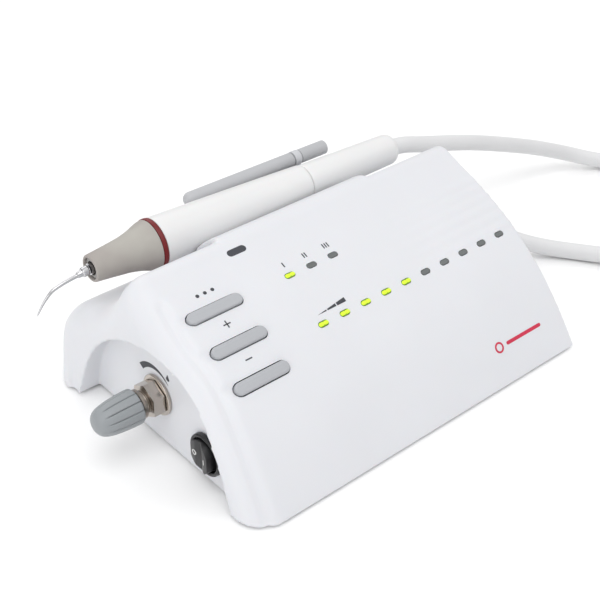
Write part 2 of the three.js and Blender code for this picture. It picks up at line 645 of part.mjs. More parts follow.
// The working tip: a threaded hexagonal root, a tapering shank and a hooked point.
function scalerTip() {
  const root = new THREE.CylinderGeometry(2.5, 2.1, 3, 6).rotateZ(-Math.PI / 2).translate(-30.6, 0, 0);
  const flank = turned([[-36, 0], [-36, 0.95], [-31.4, 1.9], [-31.4, 0]], 8);
  const hook = new THREE.CatmullRomCurve3([[-35, 0, -0.8], [-38, 0, -1.2], [-41.5, 0, -1.9], [-44.2, 0, -2.8],
    [-47.4, 0, -5.1], [-49.7, 0, -7.6], [-52.2, 0, -11.2]].map((point) => new THREE.Vector3(...point)));
  const frames = 8;
  const links = [root, flank];
  const start = 0.95;
  const end = 0.28;
  for (let step = 0; step < frames; step += 1) {
    const from = hook.getPointAt(step / frames);
    const to = hook.getPointAt((step + 1) / frames);
    const along = to.clone().sub(from);
    const wide = start + (end - start) * (step / frames);
    const narrow = start + (end - start) * ((step + 1) / frames);
    const link = new THREE.CylinderGeometry(narrow, wide, along.length() * 1.12, 6);
    link.applyQuaternion(new THREE.Quaternion().setFromUnitVectors(
      new THREE.Vector3(0, 1, 0), along.normalize()));
    link.translate((from.x + to.x) / 2, 0, (from.z + to.z) / 2);
    links.push(link);
  }
  return join(links);
}

add('scaler_tip', scalerTip(), steel, handpiece);

// ---------------------------------------------------------------- lead, its gland and its coil
function gland() {
  const flange = turned([[-9, 0], [-9, 3], [-6, 5.2], [GAP, 5.2], [GAP, 8], [2.6, 8], [3.4, 6.6],
    [3.4, 0]], 24);
  const boot = turned([[0, 0], [0, 6], [4, 6], [GLAND.length, 4.5], [GLAND.length, 0]], 24);
  boot.applyQuaternion(new THREE.Quaternion().setFromUnitVectors(
    new THREE.Vector3(1, 0, 0), GLAND_AXIS));
  const shortened = cut(solid(boot), [box(-20, 1, -20, 20, -20, 20)]);
  const body = solid(flange).add(shortened);
  return geometryOf(body).translate(PANEL_LENGTH, GLAND.y, GLAND.z);
}

add('cord_gland', gland(), cordGrey, leads);
add('cord_upper', tube(UPPER_CORD_ROUTE, CORD_RADIUS, CORD_SIDES, 16), cordGrey, leads);
add('cord_lower', tube(LOWER_CORD_ROUTE, CORD_RADIUS, CORD_SIDES, 12), cordGrey, leads);

const coil = new THREE.LatheGeometry([
  new THREE.Vector2(COIL.inner, 0), new THREE.Vector2(COIL.outer, 0),
  new THREE.Vector2(COIL.outer, COIL.height), new THREE.Vector2(COIL.inner, COIL.height),
  new THREE.Vector2(COIL.inner, 0),
], 32);
coil.rotateX(Math.PI / 2).translate(COIL.x, COIL.y, TABLE);
add('cord_coil', coil, cordGrey, leads);

// ---------------------------------------------------------------- origin and hand-over
// The origin is on the table under the middle of the unit, with the lead left out.
unit.updateMatrixWorld(true);
const bounds = new THREE.Box3().setFromObject(unit, true);
const middle = bounds.getCenter(new THREE.Vector3());
const scaler = new THREE.Group();
scaler.add(unit, leads);
scaler.position.set(-middle.x, -middle.y, -bounds.min.z);

export default scaler;
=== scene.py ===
import math

import bmesh
import bpy
import numpy as np
from mathutils import Matrix, Vector


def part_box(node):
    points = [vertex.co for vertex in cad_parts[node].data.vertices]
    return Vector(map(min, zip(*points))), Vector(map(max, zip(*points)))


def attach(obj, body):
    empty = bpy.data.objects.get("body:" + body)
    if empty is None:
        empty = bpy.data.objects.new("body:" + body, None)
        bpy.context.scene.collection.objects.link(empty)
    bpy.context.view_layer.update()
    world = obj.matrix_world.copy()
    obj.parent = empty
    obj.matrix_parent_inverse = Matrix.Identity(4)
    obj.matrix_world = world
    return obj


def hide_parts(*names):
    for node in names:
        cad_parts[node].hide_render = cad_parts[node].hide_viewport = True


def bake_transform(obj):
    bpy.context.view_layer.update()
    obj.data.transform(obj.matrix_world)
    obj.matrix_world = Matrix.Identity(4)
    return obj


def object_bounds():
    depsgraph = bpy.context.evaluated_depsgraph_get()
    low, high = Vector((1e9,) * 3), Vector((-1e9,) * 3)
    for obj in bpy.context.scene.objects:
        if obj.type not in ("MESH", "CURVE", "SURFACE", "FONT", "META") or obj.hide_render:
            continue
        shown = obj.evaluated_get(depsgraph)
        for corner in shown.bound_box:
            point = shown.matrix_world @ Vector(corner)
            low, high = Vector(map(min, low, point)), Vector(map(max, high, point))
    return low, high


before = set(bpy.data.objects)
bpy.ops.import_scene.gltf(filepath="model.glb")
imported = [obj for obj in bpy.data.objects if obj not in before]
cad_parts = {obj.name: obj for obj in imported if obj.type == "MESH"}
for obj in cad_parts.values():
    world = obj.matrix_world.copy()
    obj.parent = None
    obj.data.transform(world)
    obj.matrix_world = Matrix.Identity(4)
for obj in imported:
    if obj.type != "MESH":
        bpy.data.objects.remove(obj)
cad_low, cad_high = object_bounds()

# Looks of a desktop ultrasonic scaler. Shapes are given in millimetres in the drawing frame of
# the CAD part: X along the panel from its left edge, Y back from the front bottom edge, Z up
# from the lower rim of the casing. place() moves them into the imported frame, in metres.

MM = 0.001
BASE_CORNER = Vector((-1.2, 5.4, 0.0))
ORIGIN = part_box("base_plate")[0] - BASE_CORNER * MM

VOXEL = 0.6


# ------------------------------------------------------------------------ materials
ROUGHNESS_SPREAD = 0.06


def linear(rgb):
    return [((c / 255 + 0.055) / 1.055) ** 2.4 if c > 10 else c / 255 / 12.92 for c in rgb] + [1.0]


def link(tree, a, b):
    tree.links.new(a, b)


def material(name, colour, roughness, metallic=0.0, variation=0.04, grain=0.0, grain_scale=1800.0,
             mottling=30.0, coat=0.0, subsurface=0.0, brushed=None, second=None):
    """A procedural finish: soft colour mottling, roughness that varies a little, and a fine
    moulded or machined grain as bump."""
    made = bpy.data.materials.new(name)
    made.use_nodes = True
    tree = made.node_tree
    shader = tree.nodes["Principled BSDF"]
    shader.inputs["Metallic"].default_value = metallic
    shader.inputs["Coat Weight"].default_value = coat
    shader.inputs["Coat Roughness"].default_value = 0.15
    shader.inputs["Subsurface Weight"].default_value = subsurface
    shader.inputs["Subsurface Scale"].default_value = 0.002
    coords = tree.nodes.new("ShaderNodeTexCoord")
    mapping = tree.nodes.new("ShaderNodeMapping")
    mapping.inputs["Scale"].default_value = brushed or (1, 1, 1)
    link(tree, coords.outputs["Object"], mapping.inputs["Vector"])

    broad = tree.nodes.new("ShaderNodeTexNoise")
    broad.inputs["Scale"].default_value = mottling
    broad.inputs["Detail"].default_value = 3
    link(tree, coords.outputs["Object"], broad.inputs["Vector"])
    ramp = tree.nodes.new("ShaderNodeValToRGB")
    base = linear(colour)
    ramp.color_ramp.elements[0].position = 0.3
    ramp.color_ramp.elements[1].position = 0.7
    other = linear(second) if second else base
    ramp.color_ramp.elements[0].color = [max(0, c * (1 - variation)) for c in other[:3]] + [1]
    ramp.color_ramp.elements[1].color = [min(1, c * (1 + variation)) for c in base[:3]] + [1]
    link(tree, broad.outputs["Fac"], ramp.inputs["Fac"])
    link(tree, ramp.outputs["Color"], shader.inputs["Base Color"])

    fine = tree.nodes.new("ShaderNodeTexNoise")
    fine.inputs["Scale"].default_value = grain_scale
    fine.inputs["Detail"].default_value = 2
    link(tree, mapping.outputs["Vector"], fine.inputs["Vector"])
    spread = tree.nodes.new("ShaderNodeMapRange")
    spread.inputs["To Min"].default_value = max(0.02, roughness - ROUGHNESS_SPREAD)
    spread.inputs["To Max"].default_value = min(1.0, roughness + ROUGHNESS_SPREAD)
    link(tree, fine.outputs["Fac"], spread.inputs["Value"])
    link(tree, spread.outputs["Result"], shader.inputs["Roughness"])
    if grain:
        bump = tree.nodes.new("ShaderNodeBump")
        bump.inputs["Strength"].default_value = grain
        bump.inputs["Distance"].default_value = 0.0002
        link(tree, fine.outputs["Fac"], bump.inputs["Height"])
        link(tree, bump.outputs["Normal"], shader.inputs["Normal"])
    return made


def glowing(made, colour, strength):
    shader = made.node_tree.nodes["Principled BSDF"]
    shader.inputs["Emission Color"].default_value = linear(colour)
    shader.inputs["Emission Strength"].default_value = strength
    return made


FINISHES = {
    "casing": material("casing_white", (217, 218, 222), 0.42, variation=0.012, grain=0.08,
                       subsurface=0.05),
    "handpiece": material("handpiece_white", (224, 224, 224), 0.34, variation=0.012, grain=0.03,
                          subsurface=0.05, coat=0.2),
    "accent_ring": material("ring_red", (112, 0, 8), 0.4, variation=0.1, coat=0.05),
    "grip": material("grip_silicone", (170, 167, 160), 0.55, variation=0.03, grain=0.15,
                     grain_scale=2600, second=(154, 145, 142), mottling=45),
    "lens": material("tinted_lens", (104, 100, 96), 0.12, variation=0.25, mottling=260, coat=0.5),
    "steel": material("polished_steel", (200, 200, 202), 0.2, metallic=1.0, variation=0.06,
                      brushed=(1, 8, 8), grain=0.02),
    "ceramic": material("piezo_ceramic", (150, 135, 105), 0.6, variation=0.1, grain=0.1),
    "button": material("button_grey", (171, 173, 177), 0.45, variation=0.03, grain=0.08),
    "circuit_board": material("board_green", (30, 92, 52), 0.5, variation=0.15, grain=0.1),
    "ferrite": material("ferrite_grey", (60, 60, 64), 0.65, variation=0.15, grain=0.2),
    "aluminium": material("milled_aluminium", (190, 192, 195), 0.35, metallic=1.0,
                          variation=0.05, brushed=(1, 10, 1), grain=0.04),
    "black_plastic": material("switch_black", (26, 26, 28), 0.36, variation=0.15, grain=0.06),
    "nickel": material("plated_nickel", (184, 176, 168), 0.2, metallic=1.0, variation=0.08,
                       grain=0.03, grain_scale=900),
    "brass": material("plated_brass", (190, 182, 172), 0.24, metallic=1.0, variation=0.06,
                      grain=0.03),
    "knob": material("knob_grey", (142, 146, 149), 0.45, variation=0.04, grain=0.12),
    "hose": material("clear_hose", (205, 212, 220), 0.25, variation=0.04, coat=0.4),
    "rest_arm": material("rest_grey", (180, 181, 184), 0.42, variation=0.04, grain=0.08),
    "foot_rubber": material("foot_rubber", (34, 34, 36), 0.8, variation=0.15, grain=0.3),
    "light_green": material("lens_lit", (128, 160, 14), 0.3, variation=0.15, coat=0.3),
    "light_dark": material("lens_unlit", (92, 96, 96), 0.35, variation=0.1, coat=0.3),
    "cord": material("lead_grey", (219, 219, 220), 0.5, variation=0.03, grain=0.1,
                     grain_scale=1400),
}
GLOW = glowing(material("emitter_lit", (190, 220, 40), 0.3, variation=0.1), (200, 240, 40), 0.45)
# The lug's finish is the rest-arm grey made lighter: a painted highlight where the lug's edge
# catches the light.
REST_LUG_PAINTED_HIGHLIGHT = material("rest_lug", (198, 199, 203), 0.42, variation=0.04, grain=0.08)
MARK_WHITE = material("ink_white", (226, 226, 224), 0.5, variation=0.05)
INK_DARK = material("ink_dark", (58, 60, 66), 0.6, variation=0.1)
INK_RED = material("ink_red", (196, 40, 72), 0.6, variation=0.08)
THREADS = material("cut_thread", (150, 142, 134), 0.3, metallic=1.0, variation=0.1)


# ------------------------------------------------------------------------ mesh helpers
def mesh_object(name, points, faces, sharp_above=35.0):
    """A mesh piece from drawing-frame points, smooth but with its real edges kept sharp."""
    data = bpy.data.meshes.new(name)
    data.from_pydata((np.asarray(points, float) * MM + np.array(ORIGIN)).tolist(), [], faces)
    piece = bpy.data.objects.new(name, data)
    bpy.context.scene.collection.objects.link(piece)
    tidy(data)
    smooth(data, sharp_above)
    return piece


def tidy(data):
    work = bmesh.new()
    work.from_mesh(data)
    bmesh.ops.recalc_face_normals(work, faces=work.faces)
    work.to_mesh(data)
    work.free()


def smooth(data, sharp_above):
    data.shade_smooth()
    data.set_sharp_from_angle(angle=math.radians(sharp_above))


def finish_piece(piece, body, slot, replaced=(), finish=None):
    piece.data.materials.clear()
    piece.data.materials.append(finish or FINISHES[slot])
    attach(piece, body)
    if replaced:
        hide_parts(*replaced)
    return piece


def loft(rings, closed_ends=True):
    """Points and faces of a skin over rings of equal length."""
    count = len(rings[0])
    points = np.concatenate([np.asarray(ring, float) for ring in rings])
    faces = []
    for level in range(len(rings) - 1):
        for step in range(count):
            a = level * count + step
            b = level * count + (step + 1) % count
            faces.append((a, b, b + count, a + count))
    if closed_ends:
        faces.append(tuple(range(count))[::-1])
        faces.append(tuple(range((len(rings) - 1) * count, len(rings) * count)))
    return points, faces


def filleted(profile, radius, steps=5):
    """The same open profile with each inner corner rounded."""
    profile = [np.array(p, float) for p in profile]
    out = [profile[0]]
    for before, here, after in zip(profile, profile[1:], profile[2:]):
        back, ahead = before - here, after - here
        reach = min(radius, np.linalg.norm(back) * 0.45, np.linalg.norm(ahead) * 0.45)
        if reach < 1e-6:
            out.append(here)
            continue
        start = here + back / np.linalg.norm(back) * reach
        end = here + ahead / np.linalg.norm(ahead) * reach
        for step in range(steps + 1):
            t = step / steps
            out.append((1 - t) ** 2 * start + 2 * (1 - t) * t * here + t * t * end)
    out.append(profile[-1])
    return out


def smoothed(points, per_span=8):
    """Catmull-Rom curve through points, any number of dimensions."""
    p = [np.array(q, float) for q in points]
    p = [2 * p[0] - p[1]] + p + [2 * p[-1] - p[-2]]
    out = []
    for i in range(1, len(p) - 2):
        for step in range(per_span):
            t = step / per_span
            out.append(0.5 * (2 * p[i] + (p[i + 1] - p[i - 1]) * t
                              + (2 * p[i - 1] - 5 * p[i] + 4 * p[i + 1] - p[i + 2]) * t * t
                              + (3 * p[i] - p[i - 1] - 3 * p[i + 1] + p[i + 2]) * t ** 3))
    out.append(p[-2])
    return out


def rings_about(profile, matrix, sides, radius_at=None):
    """A ring of points about the X axis for each (along, radius) pair, placed by matrix."""
    rings = []
    for along, radius in profile:
        ring = []
        for side in range(sides):
            angle = 2 * math.pi * side / sides
            r = radius if radius_at is None else radius_at(along, radius, angle)
            ring.append(matrix @ Vector((along, r * math.cos(angle), r * math.sin(angle))))
        rings.append(ring)
    return rings


def turned(name, profile, matrix, sides=96, radius_at=None, sharp_above=35.0):
    """A piece turned about its own X axis from (along, radius) pairs, then placed by matrix.
    radius_at(along, radius, angle) may shape flutes or flats."""
    return mesh_object(name, *loft(rings_about(profile, matrix, sides, radius_at)),
                       sharp_above=sharp_above)


def ring_turned(name, profile, matrix, sides=96, sharp_above=35.0):
    """As turned(), for a closed profile that goes round a bore."""
    rings = rings_about(profile, matrix, sides)
    piece = mesh_object(name, *loft(rings + [rings[0]], closed_ends=False),
                        sharp_above=sharp_above)
    work = bmesh.new()
    work.from_mesh(piece.data)
    bmesh.ops.remove_doubles(work, verts=work.verts, dist=1e-7)
    bmesh.ops.recalc_face_normals(work, faces=work.faces)
    work.to_mesh(piece.data)
    work.free()
    smooth(piece.data, sharp_above)
    return piece


def prism(name, polygon, x0, x1):
    """A straight bar along X over a polygon of (y, z)."""
    rings = [[(x, y, z) for y, z in polygon] for x in (x0, x1)]
    return mesh_object(name, *loft(rings))


def rod(name, x0, x1, seat):
    """A straight bar along X that fills the hole of a seat."""
    return turned(name, [(x0, seat["hole"]), (x1, seat["hole"])],
                  Matrix.Translation((0, seat["y"], seat["z"])), 64)


def combine(target, tool, operation):
    """target with tool joined or cut; the tool is used up."""
    modifier = target.modifiers.new("cut", "BOOLEAN")
    modifier.operation = operation
    modifier.solver = "MANIFOLD"
    modifier.object = tool
    apply_modifiers(target)
    bpy.data.objects.remove(tool)


def apply_modifiers(piece):
    shaped = piece.evaluated_get(bpy.context.evaluated_depsgraph_get())
    made = bpy.data.meshes.new_from_object(shaped)
    piece.modifiers.clear()
    old = piece.data
    piece.data = made
    bpy.data.meshes.remove(old)


# ------------------------------------------------------------------------ camera, floor, lights
camera = bpy.data.objects.new("camera", bpy.data.cameras.new("camera"))
bpy.context.scene.collection.objects.link(camera)
camera.location = (-0.2547, -0.3033, 0.3088)
camera.rotation_euler = (math.radians(54.99), 0, math.radians(-40.55))
camera.data.lens = 73.32
camera.data.sensor_width = 36
camera.data.clip_start = 0.01
bpy.context.scene.camera = camera
bpy.context.scene.view_settings.view_transform = "Standard"

# ------------------------------------------------------------------------ panel surface
FRONT_CURVE = [(0, 0), (26.5, 40), (49, 47.6), (78.5, 60.1)]


def bezier(points, steps):
    t = np.linspace(0, 1, steps + 1)[:, None]
    p = [np.array(q, float) for q in points]
    if len(p) == 3:
        return (1 - t) ** 2 * p[0] + 2 * (1 - t) * t * p[1] + t ** 2 * p[2]
    return ((1 - t) ** 3 * p[0] + 3 * (1 - t) ** 2 * t * p[1] + 3 * (1 - t) * t ** 2 * p[2]
            + t ** 3 * p[3])


CHANNEL = smoothed([(3.0, 68), (2.3, 62.5), (1.1, 52.2), (2.1, 36.8), (0.2, 20.9), (-2.9, 1.3)])
CHANNEL_BRANCHES = [[(1.9, 60.1), (8.0, 59.4)], [(1.2, 46.5), (8.0, 45.3)],
                    [(1.8, 34.3), (8.0, 32.6)]]
CHANNEL_DEPTH = 1.1
CHANNEL_WIDTH = 2.0
BRANCH_WIDTH = 1.7
POCKET = {"depth": 0.45, "width": 3.0}
RIBS = {"first": 40.5, "pitch": 4.3, "count": 6, "from": 100.0, "height": 0.35}


def segment_distance(x, y, line):
    best = np.full(np.shape(x), 1e9)
    for (ax, ay), (bx, by) in zip(line, line[1:]):
        dx, dy = bx - ax, by - ay
        t = np.clip(((x - ax) * dx + (y - ay) * dy) / (dx * dx + dy * dy), 0, 1)
        best = np.minimum(best, np.hypot(x - ax - t * dx, y - ay - t * dy))
    return best


def panel_relief(x, y):
    """Height of the moulded surface above the plain panel curve, at (x, y)."""
    relief = -CHANNEL_DEPTH * np.exp(-(segment_distance(x, y, CHANNEL) / CHANNEL_WIDTH) ** 2)
    for _, _, row in BUTTONS:
        end = BUTTON["x"] + BUTTON["run"] + 1.0
        away = np.hypot(x - end, (y - row - 0.8) * 1.2)
        relief = relief - POCKET["depth"] * np.exp(-(away / POCKET["width"]) ** 2)
    for branch in CHANNEL_BRANCHES:
        relief = np.minimum(relief, -0.8 * CHANNEL_DEPTH
                            * np.exp(-(segment_distance(x, y, branch) / BRANCH_WIDTH) ** 2))
    fade = np.clip((x - RIBS["from"]) / 50, 0, 1)
    for rib in range(RIBS["count"]):
        away = y - RIBS["first"] - rib * RIBS["pitch"]
        relief = relief + RIBS["height"] * fade * np.exp(-away ** 2)
    return relief


def panel_frame(x, y):
    """Point on the moulded panel above (x, y), and its outward normal."""
    low, high = 0.0, 1.0
    curve = [np.array(q, float) for q in FRONT_CURVE]

    def at(t):
        return ((1 - t) ** 3 * curve[0] + 3 * (1 - t) ** 2 * t * curve[1]
                + 3 * (1 - t) * t ** 2 * curve[2] + t ** 3 * curve[3])

    for _ in range(30):
        middle = (low + high) / 2
        low, high = (middle, high) if at(middle)[0] < y else (low, middle)
    here, ahead = at(low), at(low + 1e-4)
    along = (ahead - here) / np.linalg.norm(ahead - here)
    normal = Vector((0, -along[1], along[0]))
    return Vector((x, here[0], here[1])), normal, Vector((0, along[0], along[1]))


def panel_matrix(x, y):
    """Local X along the panel, local Y up the slope, local Z square out of it."""
    point, normal, along = panel_frame(x, y)
    turn = Matrix((Vector((1, 0, 0)), along, normal)).transposed()
    return Matrix.Translation(point) @ turn.to_4x4()


# ------------------------------------------------------------------------ casing
CASING = {"left": -15.5, "right": 160.0, "back": 125.0, "rounding": 12.0, "spine_y": 62.0,
          "lean": 0.12, "taper": 0.052, "wall": 3.0, "hollow_from": 1.5}
RECESS_FACE = -4.0
HANDPIECE_POINT = Vector((27, 109.1, 52.45))
HANDPIECE_AXIS = Vector((1, -0.009, -0.012)).normalized()
HANDPIECE = Matrix.Translation(HANDPIECE_POINT) @ Vector((1, 0, 0)).rotation_difference(
    HANDPIECE_AXIS).to_matrix().to_4x4()
CRADLE = {"left": 40.0, "right": 117.0, "rear_right": 99.0, "radius": 10.8}
BUTTONS = [("button_option", "option_button", 59.0), ("button_plus", "plus_button", 45.0),
           ("button_minus", "minus_button", 32.3)]
BUTTON = {"x": 9.9, "run": 19.4, "radius": 2.45, "proud": 1.1, "clearance": 0.45}
LIGHT = {"run": 2.3, "radius": 1.12, "proud": 0.2, "clearance": 0.15}
LIGHTS = ([("mode_light_%d" % (i + 1), 54.7 + 10.8 * i, 58.5, i == 0) for i in range(3)]
          + [("level_light_%d" % (i + 1), 53.9 + 10.73 * i, 38.3, i < 5) for i in range(10)])
REGULATOR = {"y": 63.8, "z": 21.9, "hole": 4.7}
SWITCH = {"y": 34.0, "z": 13.2, "hole": 8.0}
GLAND = {"y": 80.0, "z": 15.2, "hole": 5.6}
PORTS = {"z": 14.0, "power": 122.0, "pedal": 94.0, "water": 26.0, "socket_hole": 6.3,
         "barb_hole": 4.3}


def casing_outline():
    parts = [
        np.array([(0, -20), (0, -10)], float),
        bezier(FRONT_CURVE, 150),
        bezier([(78.5, 60.1), (84, 62.4), (87, 56.5)], 16)[1:],
        bezier([(87, 56.5), (91, 47.5), (99, 40), (110, 37)], 40)[1:],
        bezier([(110, 37), (119, 34.4), (124, 26)], 16)[1:],
        np.array([(125, 20), (125, 0), (125, -20)], float),
    ]
    return np.concatenate(parts)


def casing_solid():
    outline = casing_outline()
    along = np.gradient(outline, axis=0)
    along /= np.linalg.norm(along, axis=1)[:, None]
    outward = np.stack([-along[:, 1], along[:, 0]], axis=1)
    on_panel = (outline[:, 1] > 0) & (outline[:, 0] < 78.6)
    angles = np.linspace(0, math.pi / 2, 22)
    start_x = CASING["left"] + CASING["rounding"]
    reach = CASING["right"] - start_x
    run = np.concatenate([np.arange(0.6, 12, 0.6), np.arange(13, 99, 2.0),
                          np.arange(100, reach, 1.5), [reach]])
    stations = [(angle, None) for angle in angles] + [(math.pi / 2, step) for step in run]
    rings = []
    for angle, step in stations:
        shrink = 1 - CASING["rounding"] * (1 - math.sin(angle)) / CASING["spine_y"]
        y = CASING["spine_y"] + (outline[:, 0] - CASING["spine_y"]) * shrink
        z = outline[:, 1] * shrink
        x = (CASING["left"] + CASING["rounding"] * (1 - math.cos(angle))
             + CASING["lean"] * np.maximum(z, 0) + CASING["taper"] * (CASING["back"] - y))
        if step is not None:
            x = x + (CASING["right"] - x) * step / reach
        relief = np.where(on_panel, panel_relief(x, y), 0)
        rings.append(np.stack([x, y + outward[:, 0] * relief, z + outward[:, 1] * relief], 1))
    return mesh_object("casing_shell", *loft(rings))


RECESS_OUTLINE = [(107.5, -8)] + smoothed([
    (107, 0), (102, 16.5), (95, 28.5), (86, 36), (74, 40.6), (62, 41.8), (50, 39.6), (40, 34.4),
    (31, 26), (22, 13.4), (15.5, 0)]) + [(13, -8)]
CRADLE_FRONT = filleted([(80, 34), (80, 59.2), (84.5, 61.2), (88.5, 59.2), (94, 54.6),
                         (98.6, 49.8), (109, 40), (109, 34)], 1.5)
CRADLE_FLOOR = [(100, 30), (100, 46), (121, 46), (123.5, 43), (123.5, 27)]
CRADLE_REAR = filleted([(116, 40), (116, 50.2), (122, 50.2), (123.5, 48.6), (123.5, 27)], 1.2)


def casing():
    shell = casing_solid()
    for polygon, right in ((CRADLE_FRONT, CRADLE["right"]), (CRADLE_FLOOR, CRADLE["right"]),
                           (CRADLE_REAR, CRADLE["rear_right"])):
        combine(shell, prism("cheek", polygon, CRADLE["left"], right), "UNION")
    trough = turned("trough", [(-8, CRADLE["radius"]), (110, CRADLE["radius"])], HANDPIECE)
    combine(shell, trough, "DIFFERENCE")
    combine(shell, prism("arch", RECESS_OUTLINE, CASING["left"] - 12, RECESS_FACE), "DIFFERENCE")
    floor_cut = prism("floor_cut", [(-40, -60), (-40, 0), (170, 0), (170, -60)], -60, 230)
    combine(shell, floor_cut, "DIFFERENCE")

    remesh = shell.modifiers.new("even", "REMESH")
    remesh.mode = "VOXEL"
    remesh.voxel_size = VOXEL * MM
    soften = shell.modifiers.new("soften", "SMOOTH")
    soften.factor = 0.5
    soften.iterations = 9
    apply_modifiers(shell)

    slot_radius = BUTTON["radius"] + BUTTON["clearance"]
    for _, _, y in BUTTONS:
        seat = panel_matrix(BUTTON["x"] + BUTTON["run"] / 2, y)
        tool = pill("slot", BUTTON["run"], [(-6, slot_radius), (4, slot_radius)], seat)
        combine(shell, tool, "DIFFERENCE")
    slot_radius = LIGHT["radius"] + LIGHT["clearance"]
    for _, x, y, _ in LIGHTS:
        tool = pill("slot", LIGHT["run"], [(-6, slot_radius), (3, slot_radius)],
                    panel_matrix(x, y), 8)
        combine(shell, tool, "DIFFERENCE")
    cavity = prism("cavity", cavity_outline(), CASING["hollow_from"],
                   CASING["right"] - CASING["wall"])
    combine(shell, cavity, "DIFFERENCE")
    for tool in (
            rod("bore", CASING["left"], 3, REGULATOR),
            rod("bore", RECESS_FACE - 2, 0, SWITCH),
            rod("bore", CASING["right"] - 6, CASING["right"] + 3, GLAND),
            rear_hole(PORTS["power"], PORTS["socket_hole"]),
            rear_hole(PORTS["pedal"], PORTS["socket_hole"]),
            rear_hole(PORTS["water"], PORTS["barb_hole"])):
        combine(shell, tool, "DIFFERENCE")
    smooth(shell.data, 38)
    return finish_piece(shell, "root", "casing", ["upper_casing"])


def cavity_outline():
    outline = casing_outline()[::6]
    outline = np.concatenate([outline, casing_outline()[-1:]])
    along = np.gradient(outline, axis=0)
    along /= np.linalg.norm(along, axis=1)[:, None]
    wall = CASING["wall"]
    inner = outline + np.stack([along[:, 1], -along[:, 0]], axis=1) * wall
    return [(float(y), float(z)) for y, z in inner]


def rear_hole(x, radius):
    turn = Matrix.Translation((x, 0, PORTS["z"])) @ Matrix.Rotation(math.pi / 2, 4, "Z")
    return turned("bore", [(118, radius), (130, radius)], turn, 64)


def pill_outline(run, radius, steps):
    """A run with round ends, in its own plane."""
    out = []
    for step in range(steps + 1):
        angle = -math.pi / 2 + math.pi * step / steps
        out.append((run / 2 + radius * math.cos(angle), radius * math.sin(angle)))
    for step in range(steps + 1):
        angle = math.pi / 2 + math.pi * step / steps
        out.append((-run / 2 + radius * math.cos(angle), radius * math.sin(angle)))
    return out


def pill(name, run, levels, matrix, steps=16):
    """A capsule-shaped plug: levels are (height, radius) pairs, square to the panel."""
    rings = []
    for height, radius in levels:
        rings.append([matrix @ Vector((x, y, height))
                      for x, y in pill_outline(run, radius, steps)])
    return mesh_object(name, *loft(rings))


# ------------------------------------------------------------------------ panel buttons, lights
def panel_parts():
    for node, body, y in BUTTONS:
        seat = panel_matrix(BUTTON["x"] + BUTTON["run"] / 2, y)
        r, top = BUTTON["radius"], BUTTON["proud"]
        levels = [(-3.7, r + 1), (-3.0, r + 1), (-2.95, r)]
        for step in range(7):
            angle = math.pi / 2 * step / 6
            levels.append((top - 0.75 + 0.75 * math.sin(angle), r - 0.75 + 0.75 * math.cos(angle)))
        levels += [(top + 0.07, r - 1.6), (top + 0.1, r - 2.4)]
        cap = pill("cap_" + node, BUTTON["run"], levels, seat, steps=24)
        finish_piece(cap, body, "button", [node])
    for node, x, y, lit in LIGHTS:
        r, top = LIGHT["radius"], LIGHT["proud"]
        levels = [(-2.9, r), (top - 0.3, r), (top - 0.1, r - 0.08), (top, r - 0.3),
                  (top + 0.03, r - 0.8)]
        window = pill("window_" + node, LIGHT["run"], levels, panel_matrix(x, y), steps=12)
        finish_piece(window, "root", "light_green" if lit else "light_dark", [node])
        if lit:
            for side in (-1, 1):
                seat = panel_matrix(x + side * 1.05, y)
                dome = pill("emitter_%s_%s" % (node, "a" if side < 0 else "b"), 0.9,
                            [(0.0, 0.72), (top + 0.12, 0.72), (top + 0.25, 0.5), (top + 0.3, 0.2)],
                            seat, steps=8)
                finish_piece(dome, "root", "light_green", finish=GLOW)


# Local X towards the front, local Y up, local Z out of a face that looks left.
FACING_LEFT = Matrix((Vector((0, -1, 0)), Vector((0, 0, 1)),
                      Vector((-1, 0, 0)))).transposed().to_4x4()


def mark(name, outlines, matrix, finish, body="root", slot="casing", thickness=(-0.2, 0.06)):
    """A printed mark: flat outlines a hair above the surface that matrix stands on."""
    points, faces = [], []
    for outline in outlines:
        rings = [[matrix @ Vector((x, y, z)) for x, y in outline] for z in thickness]
        new_points, new_faces = loft(rings)
        faces += [tuple(i + len(points) for i in face) for face in new_faces]
        points += [tuple(p) for p in new_points]
    piece = mesh_object(name, points, faces)
    return finish_piece(piece, body, slot, finish=finish)


def bar(x, y, width, height):
    return [(x - width / 2, y - height / 2), (x + width / 2, y - height / 2),
            (x + width / 2, y + height / 2), (x - width / 2, y + height / 2)]


def disc(x, y, radius, sides=24):
    return [(x + radius * math.cos(2 * math.pi * i / sides),
             y + radius * math.sin(2 * math.pi * i / sides)) for i in range(sides)]


